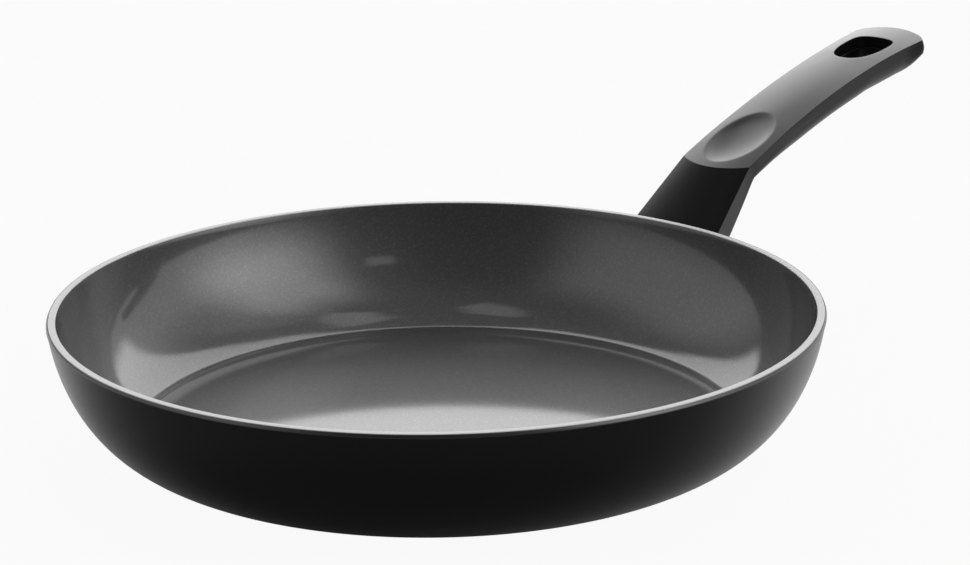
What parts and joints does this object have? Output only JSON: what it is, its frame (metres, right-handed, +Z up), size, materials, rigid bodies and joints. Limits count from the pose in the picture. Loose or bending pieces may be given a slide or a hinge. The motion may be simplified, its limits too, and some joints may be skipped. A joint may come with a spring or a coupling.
{
  "type": "frying pan",
  "caption": "Round frying pan with curved walls, grey ceramic coated inside, black outside, bare metal rim, and a fixed moulded handle with a thumb dimple and a hanging hole.",
  "frame": {"origin": "middle of the underside of the base, where the pan rests on the hob", "axes": "+Z up along the pan's axis, +X along the handle from the pan towards the tip, +Y to the right of a cook who holds the handle"},
  "size_m": [0.4517, 0.28, 0.0964],
  "materials": {
    "bare_aluminium": "fine turned",
    "grey_ceramic": "satin with a fine metallic fleck",
    "black_lacquer": "satin black baked lacquer",
    "disc_steel": "spun in rings",
    "black_phenolic": "matt moulded phenolic with a soft touch",
    "zinc_steel": "bright zinc plate"
  },
  "bodies": {
    "root": {"pan_body": "bare_aluminium", "ceramic_coating": "grey_ceramic", "outer_coating": "black_lacquer", "induction_disc": "disc_steel", "handle": "black_phenolic", "weld_stud_left": "bare_aluminium", "weld_stud_right": "bare_aluminium", "handle_screw_left": "zinc_steel", "handle_screw_right": "zinc_steel", "lock_washer_left": "zinc_steel", "lock_washer_right": "zinc_steel"}
  },
  "joints": []
}
